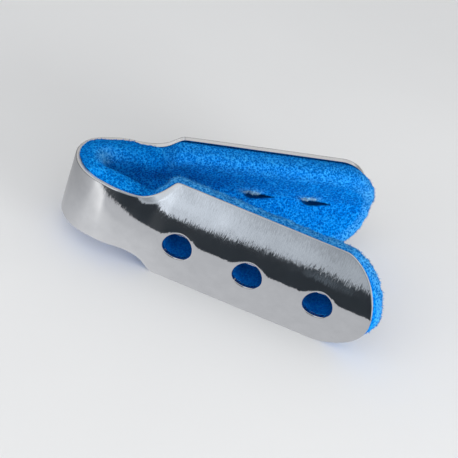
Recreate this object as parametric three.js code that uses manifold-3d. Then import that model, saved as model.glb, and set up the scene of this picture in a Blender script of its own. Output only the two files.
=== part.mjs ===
import * as THREE from 'three';
import { mergeVertices } from 'three/addons/utils/BufferGeometryUtils.js';
import Module from 'manifold-3d';

// A fold-over finger splint: one aluminium strip, bent round at its narrow waist into two arms
// that flare apart, and lined all along with soft foam. Millimetres, +Z up. It stands on the
// long edges of its arms, with the bend at -X, the front arm at -Y and the mouth at +X.

// The strip as it is cut
const SHEET = 1.05; // thickness of the metal
const STRIP_REACH = 70; // along X, from the outside of the bend to the ends of the arms
const ARM_WIDTH = 25.2; // across an arm
const WAIST_WIDTH = 14.7; // across the strip round the bend
const WAIST_HALF_LENGTH = 18.7; // along the strip, from the middle of the bend to a shoulder
const SHOULDER_LENGTH = 9.1; // along the strip, over which it widens to the arm
const SHOULDER_POWER = 2.4; // 1 widens in a straight line, more starts slowly
const TIP_DEPTH = 9.8; // along the arm, the rounded end
const TIP_POWER = 1.05; // 1 is a circular arc, more leaves a fuller corner beside a narrower nose
const EDGE_FLAT = 0.35; // width of the level land worn on the long edges

// The strip as it is bent, seen from above
const BEND_RADIUS = 9.75; // outside of the bend
const THROAT_ANGLE = 23.6; // degrees between an arm and the X axis, just past the bend
const THROAT_LENGTH = 10.2; // straight stretch past the bend
const SHOULDER_RADIUS = 27.4; // of the easy curve in which an arm turns back towards X
const ARM_ANGLE = 13.5; // degrees between an arm and the X axis, from the shoulder on

// The lengthwise crease of an arm, seen from its end
const FLANK_ANGLE = 30.9; // degrees that the lean of each flank comes up to, away from the crest
const CREST_ROUNDING = 4; // half the width over which the crest is rounded
const CREASE_START = 13.9; // along the strip, where the crease begins to rise out of the bend
const CREASE_FULL = 26.1; // along the strip, where it has its full depth

// The crown of the metal in the throat, where its middle bulges outward before the crease begins
const THROAT_CROWN = 0.55; // lean of the crowned flanks, as a share of the arms' lean
const CROWN_START = 4; // along the strip, where the sheet begins to be crowned
const CROWN_FULL = 15; // along the strip, where it has that lean
const CROWN_END = 29; // along the strip, where the crown has become the crease

// The punched holes of an arm
const HOLE_DIAMETER = 6.65;
const FIRST_HOLE = 32.9; // along the strip, from the middle of the bend
const HOLE_PITCH = 16.5;
const HOLE_TO_END = 10; // least distance from a hole's centre to the arm's end

// The foam liner
const FOAM_THICKNESS = 6; // on the arms
const GLUE_LINE = 0.3; // between metal and foam
const FOAM_RECESS = 0.4; // the liner's outer corner lies this far inside the strip's edge
const FOAM_BULGE = 0.9; // by which the cut edge of the foam swells in its middle
const FOAM_OVERHANG = 0.5; // past the metal at the ends of the arms
const FOAM_CREASE_ROUNDING = 0.5; // half the width over which the inner crease is rounded
const SLIT_LENGTH = 7; // the holes close to slits at the foam's inner face
const SLIT_WIDTH = 1;

// Thickness of the squeezed foam round the bend, as shares of FOAM_THICKNESS, at distances along
// the strip that are shares of where the crease is full
const FOAM_FILL = [
  { along: 0.0, front: 1.0, back: 1.0 },
  { along: 0.3, front: 0.86, back: 1.06 },
  { along: 0.55, front: 0.96, back: 1.12 },
  { along: 0.8, front: 1.0, back: 1.06 },
  { along: 1.1, front: 1.0, back: 1.0 },
];

// Fineness of the faceted surfaces
const CURVE_STEP = 1.9; // along the strip where it curves, widens or creases
const STRAIGHT_STEP = 14; // along the straight arms
const TIP_STEPS = 8; // along a rounded end
const HOLE_SIDES = 20;
const EDGE_STEPS = 4; // across the cut edge of the foam
const METAL_ACROSS = [1, 0.6, 0.38, 0.24, 0.12]; // heights of the facet lines, as shares of half the width
const FOAM_ACROSS = [1, 0.7, 0.4, 0.15, 0.05];

const { clamp, degToRad, lerp, smoothstep } = THREE.MathUtils;
const wasm = await Module();
wasm.setup();

// Plan of an arm: circular arcs and straight stretches, walked from the middle of the bend
const bendTurn = Math.PI / 2 - degToRad(THROAT_ANGLE);
const shoulderTurn = degToRad(THROAT_ANGLE - ARM_ANGLE);
const curvedStretches = [
  { length: BEND_RADIUS * bendTurn, curvature: 1 / BEND_RADIUS },
  { length: THROAT_LENGTH, curvature: 0 },
  { length: SHOULDER_RADIUS * Math.abs(shoulderTurn), curvature: Math.sign(shoulderTurn) / SHOULDER_RADIUS },
];
const bendEnd = curvedStretches[0].length;
const curvedEnd = curvedStretches.reduce((sum, stretch) => sum + stretch.length, 0);

function walk(place, length, curvature) {
  const turn = length * curvature;
  const chord = turn === 0 ? length : (2 / curvature) * Math.sin(turn / 2);
  const direction = place.heading + turn / 2;
  return {
    x: place.x + chord * Math.cos(direction),
    y: place.y + chord * Math.sin(direction),
    heading: place.heading + turn,
  };
}

function placeAt(distance) {
  let place = { x: 0, y: 0, heading: -Math.PI / 2 };
  let left = distance;
  for (const { length, curvature } of curvedStretches) {
    const step = Math.min(left, length);
    place = walk(place, step, curvature);
    left -= step;
  }
  return walk(place, left, 0);
}

const armLength = curvedEnd + (STRIP_REACH - placeAt(curvedEnd).x) / Math.cos(degToRad(ARM_ANGLE));

// A point at a signed distance along the strip (positive on the front arm), some way inward from
// the crest of its outer face, at a height above the strip's middle
function placed(along, inward, height) {
  const place = placeAt(Math.abs(along));
  const side = along < 0 ? -1 : 1;
  return new THREE.Vector3(
    place.x - Math.sin(place.heading) * inward,
    side * (place.y + Math.cos(place.heading) * inward),
    height,
  );
}

// Half the width of the strip at a distance along an arm, before its end is rounded
function stripHalfWidth(distance) {
  const share = clamp((distance - WAIST_HALF_LENGTH) / SHOULDER_LENGTH, 0, 1);
  return lerp(WAIST_WIDTH, ARM_WIDTH, share ** SHOULDER_POWER) / 2;
}

// Tangents of the flanks' lean: of the crease, and of the metal with its crowned throat
function flankLean(along) {
  return smoothstep(Math.abs(along), CREASE_START, CREASE_FULL) * Math.tan(degToRad(FLANK_ANGLE));
}

function crownLean(along) {
  const throat = THROAT_CROWN * smoothstep(Math.abs(along), CROWN_START, CROWN_FULL);
  const arm = (1 - THROAT_CROWN) * smoothstep(Math.abs(along), CROWN_FULL - 1, CROWN_END);
  return (throat + arm) * Math.tan(degToRad(FLANK_ANGLE));
}

// How far inward a creased face lies at a height, from the crest of an arm
function creaseInset(height, rounding) {
  return Math.hypot(height, rounding) - CREST_ROUNDING;
}

// How far inward the outer face of the metal lies. The crown stands out between edges that stay
// where the crease alone would put them.
function faceInset(along, height) {
  const standOut = (crownLean(along) - flankLean(along))
    * creaseInset(stripHalfWidth(Math.abs(along)), CREST_ROUNDING);
  return crownLean(along) * creaseInset(height, CREST_ROUNDING) - standOut;
}

// A point some depth below the outer face, square to it
function sheetPoint(along, height, depth) {
  const slope = (crownLean(along) * height) / Math.hypot(height, CREST_ROUNDING);
  const square = depth / Math.hypot(1, slope);
  return placed(along, faceInset(along, height) + square, height - square * slope);
}

// Half the strip's width at a distance along an arm
function halfWidth(distance) {
  const strip = stripHalfWidth(distance);
  const toEnd = Math.max(armLength - distance, 0);
  if (toEnd >= TIP_DEPTH) {
    return strip;
  }
  const arm = ARM_WIDTH / 2;
  const tipRadius = (arm ** 2 + TIP_DEPTH ** 2) / (2 * TIP_DEPTH);
  const nose = Math.sqrt(tipRadius ** 2 - (tipRadius - toEnd) ** 2) / arm;
  return Math.min(strip, arm * nose ** TIP_POWER);
}

// Distances along an arm at which its section is taken
function armStations() {
  const shoulderEnd = WAIST_HALF_LENGTH + SHOULDER_LENGTH;
  const tipStart = armLength - TIP_DEPTH;
  const busyEnd = Math.max(curvedEnd, CREASE_FULL, shoulderEnd);
  const marks = [0, bendEnd, WAIST_HALF_LENGTH, CREASE_START, curvedEnd, CREASE_FULL, shoulderEnd, tipStart];
  marks.sort((a, b) => a - b);
  const stations = [];
  for (let mark = 1; mark < marks.length; mark += 1) {
    const [from, to] = [marks[mark - 1], marks[mark]];
    const steps = Math.ceil((to - from) / (to <= busyEnd ? CURVE_STEP : STRAIGHT_STEP));
    for (let step = 0; step < steps; step += 1) {
      stations.push(lerp(from, to, step / steps));
    }
  }
  for (let step = 0; step <= TIP_STEPS; step += 1) {
    const toEnd = 1 - Math.sin((Math.PI / 2) * (step / TIP_STEPS));
    stations.push(armLength - TIP_DEPTH * toEnd);
  }
  return stations;
}

// The outline of the whole strip from the back arm's end to the front arm's end. Each row has
// the signed distance, the half width and the outline's outward direction in the flat sheet.
function outlineRows() {
  const oneArm = armStations();
  const alongs = [...oneArm.slice(1).map((distance) => -distance).reverse(), ...oneArm];
  const last = alongs.length - 1;
  return alongs.map((along, row) => {
    const before = alongs[Math.max(row - 1, 0)];
    const after = alongs[Math.min(row + 1, last)];
    const rise = halfWidth(Math.abs(after)) - halfWidth(Math.abs(before));
    const outward = new THREE.Vector2(-rise, after - before).normalize();
    if (row === 0 || row === last) {
      outward.set(Math.sign(along), 0);
    }
    return { along, half: halfWidth(Math.abs(along)), outward };
  });
}

// Shares of the half width from the lower edge to the upper one
function acrossShares(upperHalf) {
  return [...upperHalf.map((share) => -share), 0, ...[...upperHalf].reverse()];
}

// A closed body through rings of equally many points, the first and last of them folded flat
function bodyThrough(rings) {
  const around = rings[0].length;
  const positions = rings.flat().flatMap((point) => point.toArray());
  const corners = [];
  for (let ring = 0; ring < rings.length - 1; ring += 1) {
    for (let i = 0; i < around; i += 1) {
      const here = ring * around + i;
      const beside = ring * around + ((i + 1) % around);
      corners.push([beside, here, here + around], [beside, here + around, beside + around]);
    }
  }
  const geometry = new THREE.BufferGeometry();
  geometry.setAttribute('position', new THREE.Float32BufferAttribute(positions, 3));
  geometry.setIndex(corners.flat());
  const merged = mergeVertices(geometry, 1e-4);
  const index = merged.getIndex().array;
  const kept = [];
  for (let i = 0; i < index.length; i += 3) {
    const [a, b, c] = index.slice(i, i + 3);
    if (a !== b && b !== c && c !== a) {
      kept.push(a, b, c);
    }
  }
  merged.setIndex(kept);
  return merged;
}

function toSolid(geometry) {
  return new wasm.Manifold(new wasm.Mesh({
    numProp: 3,
    vertProperties: geometry.getAttribute('position').array,
    triVerts: Uint32Array.from(geometry.getIndex().array),
  }));
}

function toGeometry(solid) {
  const { vertProperties, triVerts } = solid.getMesh();
  const geometry = new THREE.BufferGeometry();
  geometry.setAttribute('position', new THREE.BufferAttribute(vertProperties, 3));
  geometry.setIndex(new THREE.BufferAttribute(triVerts, 1));
  return geometry;
}

// The metal strip before punching
function stripBody() {
  const shares = acrossShares(METAL_ACROSS);
  const rings = outlineRows().map(({ along, half }) => {
    const outer = shares.map((share) => sheetPoint(along, share * half, 0));
    const inner = shares.map((share) => sheetPoint(along, share * half, SHEET));
    const land = faceInset(along, half) + EDGE_FLAT;
    return [...outer, placed(along, land, half), ...inner.reverse(), placed(along, land, -half)];
  });
  return bodyThrough(rings);
}

// Thickness of the foam at a signed distance along the strip
function foamThickness(along) {
  const side = along < 0 ? 'back' : 'front';
  const share = Math.abs(along) / CREASE_FULL;
  const next = FOAM_FILL.findIndex((row) => row.along > share);
  if (next < 0) {
    return FOAM_THICKNESS * FOAM_FILL.at(-1)[side];
  }
  const [from, to] = [FOAM_FILL[next - 1], FOAM_FILL[next]];
  return FOAM_THICKNESS * lerp(from[side], to[side], smoothstep(share, from.along, to.along));
}

// A point on the foam's inner face, where the two flanks meet in a crease
function foamInnerPoint(along, height) {
  const depth = (SHEET + GLUE_LINE + foamThickness(along)) * Math.hypot(1, flankLean(along));
  return placed(along, depth + flankLean(along) * creaseInset(height, FOAM_CREASE_ROUNDING), height);
}

// The height of the foam's inner corner: its cut edge is square to the flank of the crease
function innerCornerHeight(along, half) {
  const slope = (flankLean(along) * half) / Math.hypot(half, CREST_ROUNDING);
  const drop = (SHEET + GLUE_LINE + foamThickness(along)) * slope / Math.hypot(1, slope);
  return Math.max(half - drop, 0);
}

// The foam liner before its holes are cut. Its outline is the strip's, drawn in by the recess at
// the long edges and let out by the overhang at the ends, and its cut edge swells outward.
function foamBody() {
  const shares = acrossShares(FOAM_ACROSS);
  const outerDepth = SHEET + GLUE_LINE;
  const rings = outlineRows().map(({ along, half, outward }) => {
    const foamAlong = along + outward.x * FOAM_OVERHANG;
    const foamHalf = Math.max(half - Math.abs(outward.y) * FOAM_RECESS, 0);
    const cornerHeight = innerCornerHeight(foamAlong, foamHalf);
    const outer = shares.map((share) => sheetPoint(foamAlong, share * foamHalf, outerDepth));
    const inner = shares.map((share) => foamInnerPoint(foamAlong, share * cornerHeight));
    const acrossEdge = inner.at(-1).clone().sub(outer.at(-1));
    const edge = [];
    for (let step = 1; step < EDGE_STEPS; step += 1) {
      const share = step / EDGE_STEPS;
      const swell = FOAM_BULGE * Math.sin(Math.PI * share);
      const swollen = sheetPoint(foamAlong + swell * outward.x, foamHalf + swell * outward.y, outerDepth);
      edge.push(swollen.addScaledVector(acrossEdge, share));
    }
    const lowerEdge = edge.map((point) => new THREE.Vector3(point.x, point.y, -point.z));
    return [...outer, ...edge, ...inner.reverse(), ...lowerEdge.reverse()];
  });
  return bodyThrough(rings);
}

// Signed distances of the hole centres on both arms
function holeCentres() {
  const centres = [];
  for (let along = FIRST_HOLE; along + HOLE_TO_END <= armLength; along += HOLE_PITCH) {
    centres.push(along, -along);
  }
  return centres;
}

// A plug square to an arm, with an oval section at each of a few depths below the crest
function plug(centre, sections) {
  const rings = sections.map(({ inward, halfLength, halfHeight }) => {
    const ring = [];
    for (let side = 0; side < HOLE_SIDES; side += 1) {
      const turn = (-2 * Math.PI * side) / HOLE_SIDES;
      ring.push(placed(centre + halfLength * Math.cos(turn), inward, halfHeight * Math.sin(turn)));
    }
    return ring;
  });
  const folded = (ring) => {
    const middle = ring.reduce((sum, point) => sum.add(point), new THREE.Vector3());
    return ring.map(() => middle.clone().divideScalar(ring.length));
  };
  return toSolid(bodyThrough([folded(rings.at(-1)), ...rings.reverse(), folded(rings.at(-1))]));
}

// A round hole in the creased sheet: a circle in the sheet is a little lower seen square on
function metalPunch(centre) {
  const radius = HOLE_DIAMETER / 2;
  const halfHeight = radius / Math.hypot(1, faceInset(centre, radius) / radius);
  const throughSheet = faceInset(centre, radius) + 2 * SHEET;
  return plug(centre, [
    { inward: -SHEET, halfLength: radius, halfHeight },
    { inward: throughSheet, halfLength: radius, halfHeight },
  ]);
}

// The same hole in the foam, which closes to a slit at the crease
function foamPunch(centre) {
  const radius = HOLE_DIAMETER / 2;
  const crease = (SHEET + GLUE_LINE + foamThickness(centre)) * Math.hypot(1, flankLean(centre))
    + flankLean(centre) * creaseInset(0, FOAM_CREASE_ROUNDING);
  return plug(centre, [
    { inward: -SHEET, halfLength: radius, halfHeight: radius },
    { inward: SHEET, halfLength: radius, halfHeight: radius },
    { inward: crease, halfLength: SLIT_LENGTH / 2, halfHeight: SLIT_WIDTH / 2 },
    { inward: crease + FOAM_THICKNESS / 2, halfLength: SLIT_LENGTH / 2, halfHeight: SLIT_WIDTH / 2 },
  ]);
}

function punched(geometry, punch) {
  let solid = toSolid(geometry);
  for (const centre of holeCentres()) {
    solid = solid.subtract(punch(centre));
  }
  return toGeometry(solid);
}

function namedMesh(name, geometry, look) {
  const mesh = new THREE.Mesh(geometry, new THREE.MeshStandardMaterial(look));
  mesh.name = name;
  return mesh;
}

const aluminium = { color: 0xc4c8cd, metalness: 1, roughness: 0.22 };
const blueFoam = { color: 0x1678c8, metalness: 0, roughness: 0.95 };

const splint = new THREE.Group();
splint.add(
  namedMesh('metal_strip', punched(stripBody(), metalPunch), aluminium),
  namedMesh('foam_liner', punched(foamBody(), foamPunch), blueFoam),
);

// The origin is below the middle of the whole splint, on the surface that it stands on
const bounds = new THREE.Box3().setFromObject(splint);
const middle = bounds.getCenter(new THREE.Vector3());
splint.position.set(-middle.x, -middle.y, -bounds.min.z);
splint.updateMatrixWorld(true);

export default splint;
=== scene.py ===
import math

import bpy
import numpy as np
from mathutils import Matrix, Vector
from mathutils.geometry import delaunay_2d_cdt


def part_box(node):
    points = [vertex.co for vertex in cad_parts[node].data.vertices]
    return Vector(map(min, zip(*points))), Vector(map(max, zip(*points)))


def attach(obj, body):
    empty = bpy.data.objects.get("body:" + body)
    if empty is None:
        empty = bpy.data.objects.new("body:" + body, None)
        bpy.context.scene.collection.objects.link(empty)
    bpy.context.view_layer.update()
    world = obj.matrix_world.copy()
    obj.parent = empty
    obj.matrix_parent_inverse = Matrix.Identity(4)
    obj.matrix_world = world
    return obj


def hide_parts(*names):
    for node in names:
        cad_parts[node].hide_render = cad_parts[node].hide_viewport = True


# A fold-over finger splint: a bright aluminium strip bent round at its narrow waist into two
# creased arms, lined with blue open-cell foam. Lengths are millimetres and become metres where a
# mesh or the camera is made, unless a comment says metres. "Along" is the signed distance along
# the strip from the middle of the bend (positive on the front arm), and "height" is measured
# from the middle of the strip's width.

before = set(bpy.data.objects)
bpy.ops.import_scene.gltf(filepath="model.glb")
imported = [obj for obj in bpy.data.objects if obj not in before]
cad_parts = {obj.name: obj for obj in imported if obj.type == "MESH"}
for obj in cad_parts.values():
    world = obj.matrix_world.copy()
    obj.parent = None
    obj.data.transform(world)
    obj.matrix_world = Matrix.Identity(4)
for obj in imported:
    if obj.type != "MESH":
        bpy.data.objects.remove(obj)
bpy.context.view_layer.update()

MM = 0.001
SEED = 20

# The strip as it is cut
SHEET = 1.05
STRIP_REACH = 70.0
ARM_WIDTH = 25.2
WAIST_WIDTH = 14.7
WAIST_HALF_LENGTH = 18.7
SHOULDER_LENGTH = 9.1
SHOULDER_POWER = 2.4
TIP_DEPTH = 9.8
TIP_POWER = 1.05
CORNER_SOFTENING = 0.55  # spread over which the corners of the cut outline are eased
EDGE_ROLL = 0.38  # radius of the outer corner of the cut edges, where the press rolled them over
EDGE_ROUND = 0.12  # radius of their inner corner

# The strip as it is bent
BEND_RADIUS = 9.75
THROAT_ANGLE = math.radians(23.6)
THROAT_LENGTH = 10.2
SHOULDER_RADIUS = 27.4
ARM_ANGLE = math.radians(13.5)
FLANK_ANGLE = math.radians(30.9)
CREST_ROUNDING = 4.0
CREASE_START = 13.9
CREASE_FULL = 26.1
THROAT_CROWN = 0.55  # share of the flanks' lean that the throat already has
THROAT_CROWN_FROM = 4.0
THROAT_CROWN_TO = 15.0
CROWN_FULL = 29.0
THROAT_LIP_FROM = (15.5, 25.5)  # along, over which the long edges of the throat start to turn inward
THROAT_LIP_TO = (CREASE_FULL - 1, CREASE_FULL + 3)  # and over which they stop
THROAT_LIP_DEPTH = 0.45  # by which the very edge is turned in
THROAT_LIP_REACH = 2.6  # height of the strip beside the edge that turns

# The punched holes
HOLE_DIAMETER = 6.65
FIRST_HOLE = 32.9
HOLE_PITCH = 16.5
HOLE_TO_END = 10.0
ROLLOVER_DEPTH = 0.1  # by which the sheet dips at a punched edge
ROLLOVER_REACH = 0.7

# The finish of the cut edges, from 0 for polished to 1 for matte
EDGE_MATTE = 1.0  # round the bend and at the tips
ARM_MATTE = 0.3  # the shear leaves the arms' edges smoother
ARM_MATTE_FROM = WAIST_HALF_LENGTH + 2
PUNCHED_MATTE = 0.3  # and the punch those of the holes
TIP_MATTE_BEFORE_END = 1.0

# Unevenness, in layers of smooth noise
SHEET_WAVES = [{"height": 0.03, "size": 9.0}, {"height": 0.008, "size": 3.0}]
FOAM_LUMPS = [{"height": 0.14, "size": 3.5}, {"height": 0.12, "size": 1.5}]
FOAM_CELLS = [{"height": 0.12, "size": 0.6}, {"height": 0.08, "size": 0.33}]
FRAY_LUMPS = [{"height": 0.3, "size": 1.1}]

# The foam liner
FOAM_THICKNESS = 6.0
GLUE_LINE = 0.12
FOAM_RECESS = 0.45
BEND_PROUD = 0.1  # by which the squeezed foam stands above the metal's upper edge round the bend
BEND_PROUD_FROM = (-27.0, -21.0)  # along, on the back arm
BEND_PROUD_TO = (6.0, 14.0)  # along, on the front arm
BEND_SPILL = 1.9  # pull of the squeezed foam outward, over the inner corner of the metal's edge
BEND_SPILL_RISE = -0.35  # and its pull upward
FOAM_BULGE = 3.0  # pull of the cut edge outward from the strip
FOAM_TURNOVER = 2.2  # over which the cut edge turns over into the inner face
EASING_ROUNDS = 40  # of smoothing, for the outline of the inner face
SWELL_STEP = 0.05  # between the two points that give the direction of the bulge
FOAM_OVERHANG = 0.5  # by which the foam is longer than the metal at each end
FOAM_CREASE_ROUNDING = 0.5
FOAM_HOLE_GAP = 0.35  # by which the liner's holes are wider than the metal's
SLIT_LENGTH = 7.6
SLIT_WIDTH = 1.9
SLIT_TAPER = 0.75  # share of its width that a slit has lost at the end away from the bend
SLIT_UPPER_HALF = 0.6  # height of a slit's upper half, as a share of the lower one's
SLIT_DROP = 0.5  # by which the slits lie below the foam's crease
SLIT_SHIFTS = (0.3, 0.8, -1.1)  # along, from a hole's centre to its slit's, from the bend outwards
# The lower edge of a slit takes the painted shade of the holes' walls
SLIT_SHADE = 0.7  # how far the lower edge of a slit has the colour of the holes' walls
SLIT_LIP_RISE = 0.45  # by which the frayed upper edge of a slit stands up
SLIT_LIP_TOWARDS_BEND = 2.3
SLIT_LIP_HALF_LENGTH = 2.7
SLIT_LIP_HEIGHT = 0.65
SLIT_LIP_HALF_WIDTH = 0.75
HOLE_WALL_SMOOTHING = 0.8  # share of the lumps that the walls of the holes lack
MASKED_SHARE = 6  # one part in this many of an edge, next to the metal, has fewer lumps

# Where the foam's cells are torn open and pale, from 0 for whole to 1 for torn. The paleness is partly
# the torn cells, partly painted sheen on the cut edges and a painted highlight on the slit lips and the
# pinched foam
EDGE_FRAY = 0.75
EDGE_FRAY_FROM = (CREASE_FULL - 4, CREASE_FULL)
EDGE_FRAY_POWER = 0.5  # below 1 widens the torn band of the edge
BACK_FRAY = 0.15  # of the back arm's cut edge, as a share of the front arm's
BACK_TIP_FRAY = 0.8  # the same at the back arm's end
PINCH_FRAY = 1.1  # of the foam that is bunched up in the bend
PINCH_REACH = 9.0
PINCH_EDGE = (0.5, 0.8)  # share of the cut edge over which it sets in
SLIT_FRAY = 1.2
# Above this the foam takes the painted highlight colour
TORN_FROM = 0.8  # fray above which the foam goes fully pale and slivers crowd
FUZZ_COUNT = 30000
FUZZ_ON_FACES = 0.25
FUZZ_ON_LIPS = 6.0
FUZZ_LENGTH = (0.15, 0.5)
FUZZ_WIDTH = (0.03, 0.07)
FUZZ_ROOT = 0.15  # by which a sliver starts below the foam's skin
FUZZ_LEAN = 0.6  # spread of the slivers' lean
# A sliver's paleness is partly painted sheen
FUZZ_FRAY = 0.12  # the least fray of a sliver, which makes it a little paler than the skin

# Share of the foam's thickness on each arm, by the share of the way to the full crease
FOAM_FILL = [
    {"along": 0.0, "front": 1.0, "back": 1.0},
    {"along": 0.3, "front": 0.86, "back": 1.06},
    {"along": 0.55, "front": 0.96, "back": 1.12},
    {"along": 0.8, "front": 1.0, "back": 1.06},
    {"along": 1.1, "front": 1.0, "back": 1.0},
]

# Fineness of the meshes
METAL_STEP = 0.5
METAL_EDGE_STEP = 0.3
ROUND_STEPS = 4
FOAM_STEP = 0.3
FOAM_BACK_STEP = 1.6
FOAM_EDGE_ROWS = 20
HOLE_POINTS = 72
HOLE_ROWS = 16
OUTLINE_STEP = 0.1
TIP_POINTS = 200
GRID_CLEARANCE = 0.55  # of a step, between the grid's points and the loops
GRID_PARTS = 40  # in which the grid is tested, to save memory
SLOPE_STEP = 0.02

# Where the strip lies in the frame: the outside of its bend, its middle plane and half its width
strip_low, strip_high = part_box("metal_strip")
ORIGIN = np.array([
    strip_low.x / MM,
    (strip_low.y + strip_high.y) / 2 / MM,
    (strip_low.z + strip_high.z) / 2 / MM,
])


def lerp(a, b, share):
    return a + (b - a) * share


def smoothstep(x, low, high):
    share = np.clip((x - low) / (high - low), 0, 1)
    return share * share * (3 - 2 * share)


def unit(vectors):
    return vectors / np.linalg.norm(vectors, axis=1, keepdims=True)


# Plan of an arm: arcs and straight stretches walked from the middle of the bend
BEND_END = BEND_RADIUS * (math.pi / 2 - THROAT_ANGLE)
STRETCHES = [
    (BEND_END, 1 / BEND_RADIUS),
    (THROAT_LENGTH, 0.0),
    (SHOULDER_RADIUS * (THROAT_ANGLE - ARM_ANGLE), 1 / SHOULDER_RADIUS),
]
CURVED_END = sum(length for length, _ in STRETCHES)


def walk(x, y, heading, step, curvature):
    turn = step * curvature
    chord = step if curvature == 0 else 2 / curvature * np.sin(turn / 2)
    direction = heading + turn / 2
    return x + chord * np.cos(direction), y + chord * np.sin(direction), heading + turn


def plan(distance):
    left = np.asarray(distance, float)
    x, y, heading = np.zeros_like(left), np.zeros_like(left), np.full_like(left, -math.pi / 2)
    for length, curvature in STRETCHES:
        step = np.minimum(left, length)
        x, y, heading = walk(x, y, heading, step, curvature)
        left = left - step
    return walk(x, y, heading, left, 0.0)


ARM_LENGTH = CURVED_END + (STRIP_REACH - float(plan(CURVED_END)[0])) / math.cos(ARM_ANGLE)
TIP_START = ARM_LENGTH - TIP_DEPTH


def placed(along, inward, height):
    """Points some way inward from the crest of the outer face, in millimetres in the shared frame."""
    x, y, heading = plan(np.abs(along))
    side = np.where(along < 0, -1.0, 1.0)
    local = [x - np.sin(heading) * inward, side * (y + np.cos(heading) * inward), height]
    return np.stack(np.broadcast_arrays(*local), -1) + ORIGIN


def flank_lean(along):
    return smoothstep(np.abs(along), CREASE_START, CREASE_FULL) * math.tan(FLANK_ANGLE)


def crown_lean(along):
    """The lean of the metal's flanks: the sheet is crowned in the throat before the crease begins."""
    distance = np.abs(along)
    throat = THROAT_CROWN * smoothstep(distance, THROAT_CROWN_FROM, THROAT_CROWN_TO)
    arm = (1 - THROAT_CROWN) * smoothstep(distance, THROAT_CROWN_TO - 1, CROWN_FULL)
    return (throat + arm) * math.tan(FLANK_ANGLE)


def face_inset(along, height):
    """How far inward a face lies at a height. The crown stands out between edges that stay in place."""
    edge = np.hypot(arm_half_width(np.abs(along)), CREST_ROUNDING) - CREST_ROUNDING
    crown = crown_lean(along)
    stand_out = (crown - flank_lean(along)) * edge
    lip, _ = throat_lip(along, height)
    return crown * (np.hypot(height, CREST_ROUNDING) - CREST_ROUNDING) - stand_out + lip


def throat_lip(along, height):
    """How far the long edges of the throat turn inward, and the slope of that."""
    distance = np.abs(along)
    here = THROAT_LIP_DEPTH * smoothstep(distance, *THROAT_LIP_FROM)
    here = here * (1 - smoothstep(distance, *THROAT_LIP_TO))
    beyond = np.abs(height) - arm_half_width(distance) + THROAT_LIP_REACH
    reach = np.maximum(beyond, 0) / THROAT_LIP_REACH
    return here * reach ** 2, here * 2 * reach / THROAT_LIP_REACH * np.sign(height)


def flank_slope(along, height):
    _, lip_slope = throat_lip(along, height)
    return crown_lean(along) * height / np.hypot(height, CREST_ROUNDING) + lip_slope


def sheet_point(along, height, depth):
    """Points at a depth below the outer face of the strip, square to it."""
    slope = flank_slope(along, height)
    square = depth / np.hypot(1, slope)
    return placed(along, face_inset(along, height) + square, height - square * slope)


def arm_half_width(distance):
    share = np.clip((distance - WAIST_HALF_LENGTH) / SHOULDER_LENGTH, 0, 1)
    return lerp(WAIST_WIDTH, ARM_WIDTH, share ** SHOULDER_POWER) / 2


def half_width(distance):
    arm = ARM_WIDTH / 2
    to_end = np.clip(ARM_LENGTH - distance, 0, TIP_DEPTH)
    tip_radius = (arm ** 2 + TIP_DEPTH ** 2) / (2 * TIP_DEPTH)
    nose = np.sqrt(tip_radius ** 2 - (tip_radius - to_end) ** 2) / arm
    return np.minimum(arm_half_width(distance), arm * nose ** TIP_POWER)


def hole_centres():
    count = int((ARM_LENGTH - HOLE_TO_END - FIRST_HOLE) // HOLE_PITCH) + 1
    return [side * (FIRST_HOLE + i * HOLE_PITCH) for i in range(count) for side in (1, -1)]


# Closed loops in the flat sheet, counterclockwise, as (along, height)
def resampled(loop, step):
    closed = np.vstack([loop, loop[:1]])
    run = np.concatenate([[0], np.cumsum(np.hypot(*np.diff(closed, axis=0).T))])
    at = np.linspace(0, run[-1], max(int(run[-1] / step), 8), endpoint=False)
    return np.stack([np.interp(at, run, closed[:, i]) for i in range(2)], 1)


def softened(loop, spread):
    """The loop with its corners eased by a running average, which is a bell curve of that spread."""
    spacing = np.hypot(*(loop[1] - loop[0]))
    reach = int(4 * spread / spacing) + 1
    weights = np.exp(-0.5 * (np.arange(-reach, reach + 1) * spacing / spread) ** 2)
    wrapped = np.vstack([loop[-reach:], loop, loop[:reach]])
    weights = weights / weights.sum()
    return np.stack([np.convolve(wrapped[:, i], weights, "valid") for i in range(2)], 1)


def outward(loop):
    """Unit normals of a counterclockwise loop, away from what it holds."""
    tangent = np.roll(loop, -1, 0) - np.roll(loop, 1, 0)
    return unit(np.stack([tangent[:, 1], -tangent[:, 0]], 1))


def strip_outline(step):
    body = np.arange(0, TIP_START, OUTLINE_STEP)
    tip = ARM_LENGTH - TIP_DEPTH * (1 - np.sin(np.linspace(0, math.pi / 2, TIP_POINTS)))
    distance = np.concatenate([body, tip])
    arm = np.stack([distance, half_width(distance)], 1)
    lower_front = (arm * [1, -1])[1:]
    upper_front = arm[::-1][1:]
    upper_back = (arm * [-1, 1])[1:]
    lower_back = (arm * [-1, -1])[::-1][1:]
    loop = np.vstack([arm[:1] * [1, -1], lower_front, upper_front, upper_back, lower_back])
    return resampled(softened(resampled(loop, OUTLINE_STEP), CORNER_SOFTENING), step)


def ellipse(centre, half_length, half_height, points):
    turn = np.linspace(0, 2 * math.pi, points, endpoint=False)
    return np.stack([centre + half_length * np.cos(turn), half_height * np.sin(turn)], 1)


def inside(points, loop):
    """Which points lie inside a closed loop, by counting the sides that a ray crosses."""
    x, y = points[:, :1], points[:, 1:]
    (ax, ay), (bx, by) = loop.T, np.roll(loop, -1, 0).T
    crosses = (ay > y) != (by > y)
    rise = np.where(by == ay, 1, by - ay)
    return ((crosses & (x < ax + (y - ay) * (bx - ax) / rise)).sum(1) % 2).astype(bool)


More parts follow.
